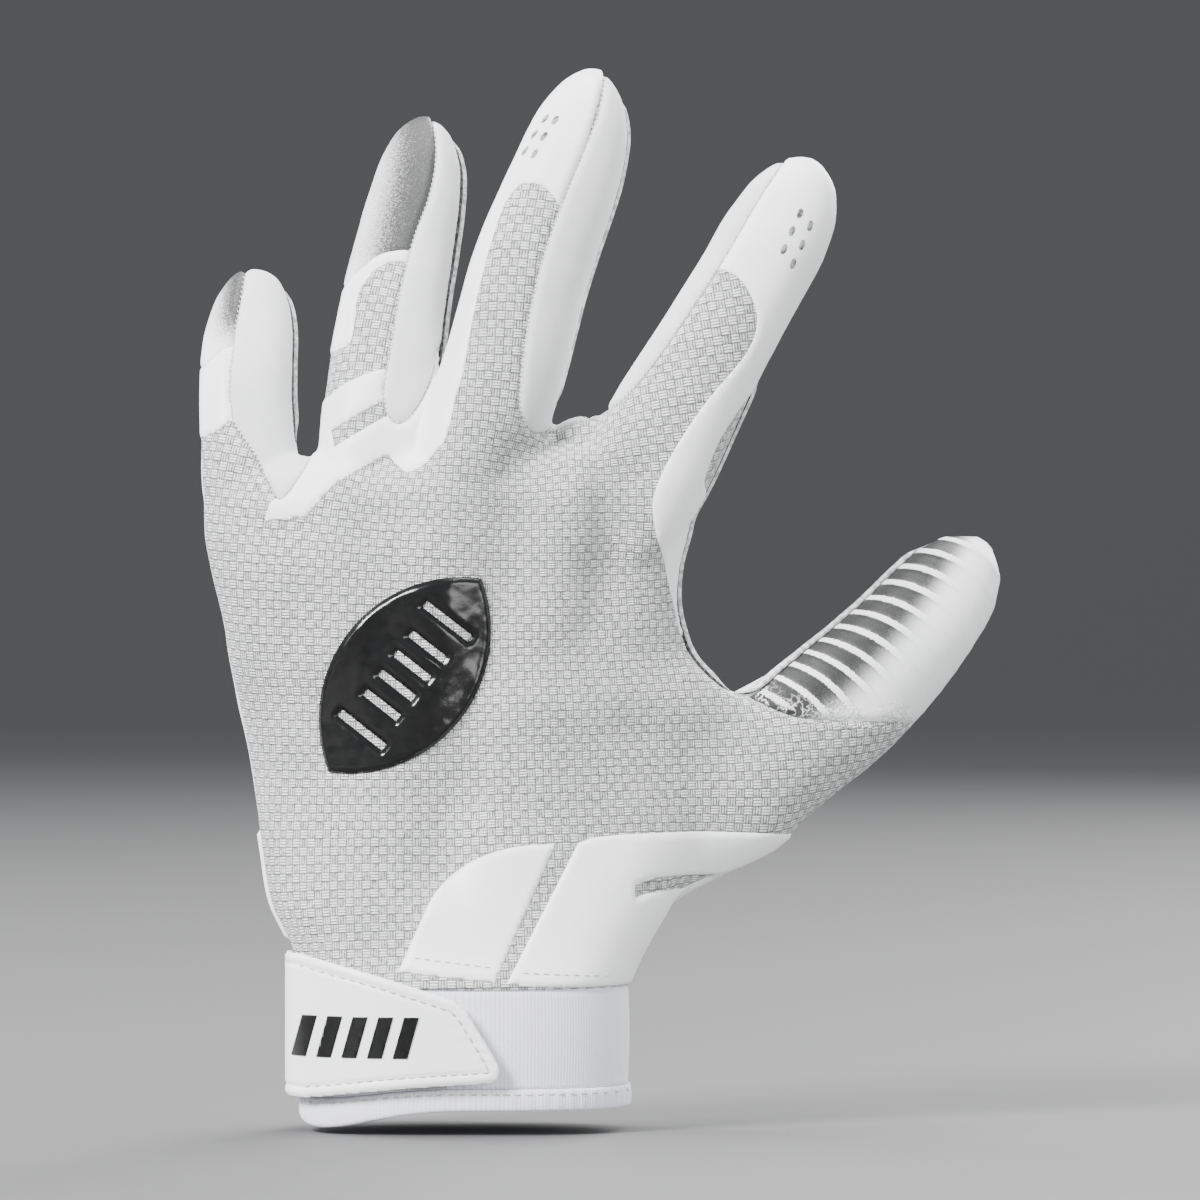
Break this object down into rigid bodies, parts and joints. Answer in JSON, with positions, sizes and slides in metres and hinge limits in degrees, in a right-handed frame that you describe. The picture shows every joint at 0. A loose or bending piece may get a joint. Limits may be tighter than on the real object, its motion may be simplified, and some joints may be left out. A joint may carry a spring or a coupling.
{
  "type": "football glove",
  "caption": "Receiver's glove for the left hand with a knit back, grip palm and ribbed grip thumb, stretch gussets between the fingers and a strapped cuff.",
  "frame": {"origin": "centre of the wrist opening, at the level of the cuff's hem", "axes": "+Z from the wrist to the fingertips, +X towards the thumb, -Y out of the back of the hand"},
  "size_m": [0.1784, 0.0763, 0.2325],
  "materials": {
    "back_knit": "light grey basket knit, matte",
    "grip": "white tacky coating on thin cloth, satin",
    "stretch": "smooth white stretch cloth, matte",
    "smooth_film": "thin smooth white film, matte",
    "speckled_grip": "white film with a dark speckled fade, matte",
    "coated_cloth": "smooth coated cloth, white, with a stitched edge",
    "cuff_knit": "fine ribbed stretch knit, cool white",
    "hook_tape": "light grey hook tape",
    "black_rubber": "raised black rubber print, glossy"
  },
  "bodies": {
    "root": {"back_panel": "back_knit", "palm_panel": "grip", "thumb_panel": "grip", "gusset_pinky_ring": "stretch", "gusset_ring_middle": "stretch", "gusset_middle_index": "stretch", "pinky_tip_film": "speckled_grip", "ring_tip_film": "speckled_grip", "pinky_film": "smooth_film", "ring_film": "smooth_film", "knuckle_film": "smooth_film", "index_film": "smooth_film", "wrist_patch": "coated_cloth", "thumb_patch": "coated_cloth", "heel_patch": "coated_cloth", "back_badge": "black_rubber", "cuff_band": "cuff_knit", "cuff_binding": "cuff_knit", "closure_strap": "coated_cloth", "hook_pad": "hook_tape", "strap_mark_1": "black_rubber", "strap_mark_2": "black_rubber", "strap_mark_3": "black_rubber", "strap_mark_4": "black_rubber", "strap_mark_5": "black_rubber"}
  },
  "joints": []
}
